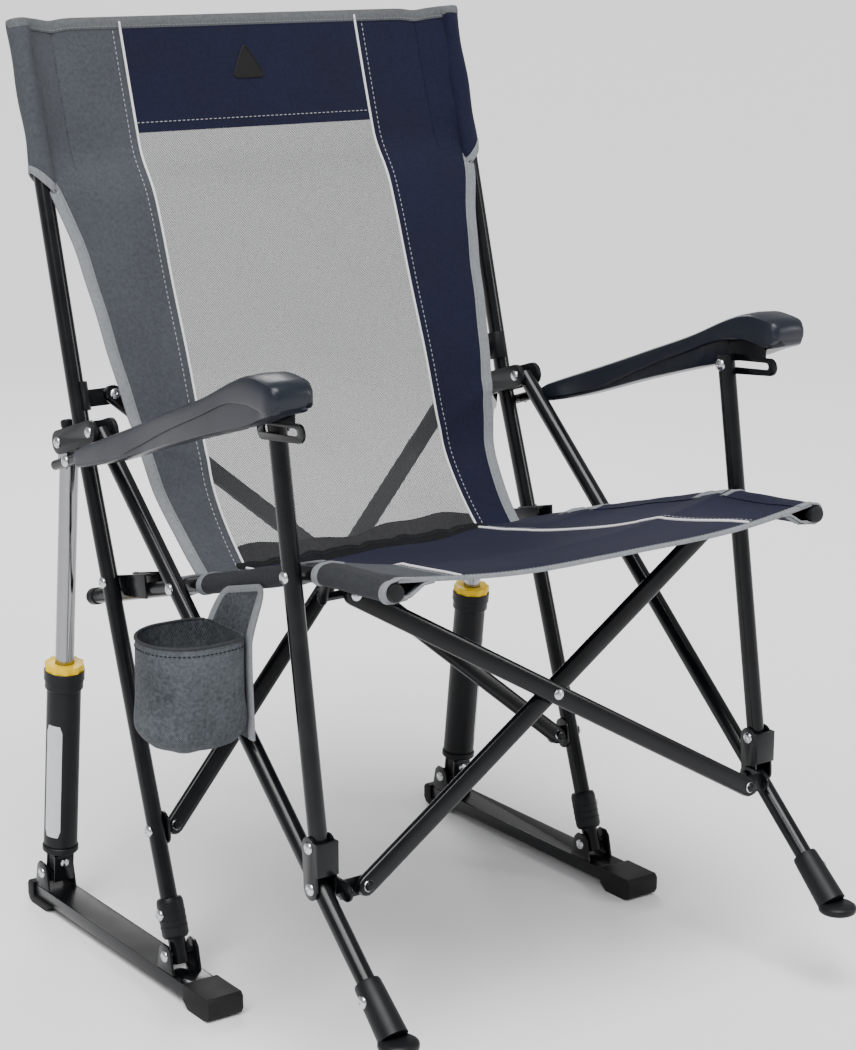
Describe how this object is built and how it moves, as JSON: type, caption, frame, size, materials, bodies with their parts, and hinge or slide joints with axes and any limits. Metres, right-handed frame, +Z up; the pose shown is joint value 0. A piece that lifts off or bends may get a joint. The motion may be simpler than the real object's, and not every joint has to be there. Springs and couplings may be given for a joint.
{
  "type": "camp rocking chair",
  "caption": "Folding camp rocking chair with sprung rear rocker struts, padded-edge mesh back, fabric seat, armrests and a hanging drink holder.",
  "frame": {"origin": "on the floor, under the middle of the whole chair's box; the plane midway between the two side frames is 32.75 mm to +X of it, because the drink holder hangs on the right", "axes": "+Z up; the sitter faces -Y; +X is to the sitter's left"},
  "size_m": [0.7736, 0.8, 1.076],
  "materials": {
    "steel_black": "gloss",
    "plastic_black": "satin",
    "plastic_slate": "satin",
    "rubber_black": "matte",
    "chrome_rod": "polished",
    "rivet_steel": "satin",
    "plastic_yellow": "satin",
    "spring_steel": "satin",
    "fabric_navy": "matte",
    "fabric_grey": "matte",
    "fabric_mesh": "matte",
    "fabric_trim": "matte",
    "fabric_piping": "matte"
  },
  "bodies": {
    "right_base": {"right_ground_rail": "steel_black", "right_rail_front_cap": "rubber_black", "right_rail_rear_pad": "rubber_black"},
    "right_frame": {"right_upright": "steel_black", "right_leg_socket": "plastic_black", "right_front_leg": "steel_black", "right_front_foot": "plastic_black", "right_arm_post": "steel_black", "right_seat_hanger": "steel_black", "right_post_bracket": "steel_black", "right_upper_block": "plastic_black", "right_armrest": "plastic_slate", "right_armrest_bar": "steel_black", "right_armrest_slot_bracket": "steel_black", "right_rear_brace_link": "steel_black", "back_panel": "fabric_mesh"},
    "right_piston": {"right_piston_lug": "steel_black", "right_piston_base": "plastic_black", "right_piston_cylinder": "plastic_black", "right_cylinder_ring": "plastic_yellow"},
    "right_piston_rod": {"right_piston_rod": "chrome_rod", "right_rocker_spring": "spring_steel"},
    "right_seat_rail": {"right_seat_rail": "steel_black", "right_front_brace_bracket": "steel_black", "seat_panel": "fabric_navy"},
    "right_front_link": {"right_front_brace_link": "steel_black"},
    "right_rear_slider": {"right_rear_brace_slider": "plastic_black"},
    "left_base": {"left_ground_rail": "steel_black", "left_rail_front_cap": "rubber_black", "left_rail_rear_pad": "rubber_black"},
    "left_frame": {"left_upright": "steel_black", "left_leg_socket": "plastic_black", "left_front_leg": "steel_black", "left_front_foot": "plastic_black", "left_arm_post": "steel_black", "left_seat_hanger": "steel_black", "left_post_bracket": "steel_black", "left_upper_block": "plastic_black", "left_armrest": "plastic_slate", "left_armrest_bar": "steel_black", "left_armrest_slot_bracket": "steel_black", "left_rear_brace_link": "steel_black"},
    "left_piston": {"left_piston_lug": "steel_black", "left_piston_base": "plastic_black", "left_piston_cylinder": "plastic_black", "left_cylinder_ring": "plastic_yellow"},
    "left_piston_rod": {"left_piston_rod": "chrome_rod", "left_rocker_spring": "spring_steel"},
    "left_seat_rail": {"left_seat_rail": "steel_black", "left_front_brace_bracket": "steel_black"},
    "left_front_link": {"left_front_brace_link": "steel_black"},
    "left_rear_slider": {"left_rear_brace_slider": "plastic_black"},
    "front_brace_a": {"front_brace_a": "steel_black", "front_brace_rivet": "rivet_steel"},
    "front_brace_b": {"front_brace_b": "steel_black"},
    "rear_brace_a": {"rear_brace_a": "steel_black", "rear_brace_rivet": "rivet_steel"},
    "rear_brace_b": {"rear_brace_b": "steel_black"},
    "drink_holder": {"drink_holder": "fabric_grey"}
  },
  "joints": [
    {"name": "rock", "type": "hinge", "parent": "right_base", "child": "right_frame", "pos_m": [-0.26925, 0.06098, 0.044], "axis": [-1, 0, 0], "range_deg": [0, 12], "stiffness_Nm_per_rad": 60, "springref_deg": -9.17},
    {"name": "fold", "type": "slide", "parent": "right_frame", "child": "left_frame", "axis": [-1, 0, 0], "range_m": [0, 0.16], "deforming": ["seat_panel", "back_panel"]},
    {"name": "left_base_rock", "type": "hinge", "parent": "left_frame", "child": "left_base", "pos_m": [0.33475, 0.06098, 0.044], "axis": [-1, 0, 0], "range_deg": [-12.1, 0.1]},
    {"name": "right_piston_tilt", "type": "hinge", "parent": "right_base", "child": "right_piston", "pos_m": [-0.26925, 0.36598, 0.046], "axis": [-1, 0, 0], "range_deg": [-0.1, 12.04]},
    {"name": "right_rod_slide", "type": "slide", "parent": "right_piston", "child": "right_piston_rod", "axis": [0, 0.1195, -0.9928], "range_m": [-0.0003, 0.06405], "deforming": ["right_rocker_spring"]},
    {"name": "right_seat_rail_lift", "type": "hinge", "parent": "right_frame", "child": "right_seat_rail", "pos_m": [-0.24675, 0.14798, 0.4494], "axis": [-1, 0, 0], "range_deg": [-0.1, 28.68]},
    {"name": "right_front_link_pitch", "type": "hinge", "parent": "right_frame", "child": "right_front_link", "pos_m": [-0.25425, -0.23862, 0.2238], "axis": [-1, 0, 0], "range_deg": [-0.1, 5.9]},
    {"name": "right_rear_slide", "type": "slide", "parent": "right_frame", "child": "right_rear_slider", "axis": [0, 0.2665, 0.9638], "range_m": [-0.0003, 0.13032]},
    {"name": "left_piston_tilt", "type": "hinge", "parent": "left_base", "child": "left_piston", "pos_m": [0.33475, 0.36598, 0.046], "axis": [-1, 0, 0], "range_deg": [-0.1, 12.04]},
    {"name": "left_rod_slide", "type": "slide", "parent": "left_piston", "child": "left_piston_rod", "axis": [0, 0.1195, -0.9928], "range_m": [-0.0003, 0.06405], "deforming": ["left_rocker_spring"]},
    {"name": "left_seat_rail_lift", "type": "hinge", "parent": "left_frame", "child": "left_seat_rail", "pos_m": [0.31225, 0.14798, 0.4494], "axis": [-1, 0, 0], "range_deg": [-0.1, 28.68]},
    {"name": "left_front_link_pitch", "type": "hinge", "parent": "left_frame", "child": "left_front_link", "pos_m": [0.31975, -0.23862, 0.2238], "axis": [-1, 0, 0], "range_deg": [-0.1, 5.9]},
    {"name": "left_rear_slide", "type": "slide", "parent": "left_frame", "child": "left_rear_slider", "axis": [0, 0.2665, 0.9638], "range_m": [-0.0003, 0.13032]},
    {"name": "front_brace_a_turn", "type": "hinge", "parent": "left_front_link", "child": "front_brace_a", "pos_m": [0.29175, -0.26402, 0.223], "axis": [0, 0.9844, -0.1757], "range_deg": [-0.1, 23.36]},
    {"name": "front_brace_b_turn", "type": "hinge", "parent": "right_front_link", "child": "front_brace_b", "pos_m": [-0.22625, -0.26402, 0.223], "axis": [0, -0.9844, 0.1757], "range_deg": [-0.1, 23.36]},
    {"name": "rear_brace_a_turn", "type": "hinge", "parent": "left_frame", "child": "rear_brace_a", "pos_m": [0.30775, 0.10678, 0.179], "axis": [0, 0.955, -0.2967], "range_deg": [-0.1, 16.23]},
    {"name": "rear_brace_b_turn", "type": "hinge", "parent": "right_frame", "child": "rear_brace_b", "pos_m": [-0.24225, 0.10678, 0.179], "axis": [0, -0.955, 0.2967], "range_deg": [-0.1, 16.23]},
    {"name": "drink_holder_swing", "type": "hinge", "parent": "right_seat_rail", "child": "drink_holder", "pos_m": [-0.25725, -0.06802, 0.507], "axis": [1, 0, 0], "range_deg": [-0.1, 28.68]}
  ],
  "couplings": [
    {"joint": "left_base_rock", "follows": "rock", "ratio": -1},
    {"joint": "right_piston_tilt", "follows": "rock", "ratio": 0.99476},
    {"joint": "right_rod_slide", "follows": "rock", "m_per_rad": 0.30438},
    {"joint": "right_seat_rail_lift", "follows": "fold", "rad_per_m": 3.1173},
    {"joint": "right_front_link_pitch", "follows": "fold", "rad_per_m": 0.63225},
    {"joint": "right_rear_slide", "follows": "fold", "ratio": 0.81265},
    {"joint": "left_piston_tilt", "follows": "rock", "ratio": 0.99476},
    {"joint": "left_rod_slide", "follows": "rock", "m_per_rad": 0.30438},
    {"joint": "left_seat_rail_lift", "follows": "fold", "rad_per_m": 3.1173},
    {"joint": "left_front_link_pitch", "follows": "fold", "rad_per_m": 0.63225},
    {"joint": "left_rear_slide", "follows": "fold", "ratio": 0.81265},
    {"joint": "front_brace_a_turn", "follows": "fold", "rad_per_m": 2.537},
    {"joint": "front_brace_b_turn", "follows": "fold", "rad_per_m": 2.537},
    {"joint": "rear_brace_a_turn", "follows": "fold", "rad_per_m": 1.7596},
    {"joint": "rear_brace_b_turn", "follows": "fold", "rad_per_m": 1.7596},
    {"joint": "drink_holder_swing", "follows": "fold", "rad_per_m": 3.1173}
  ]
}
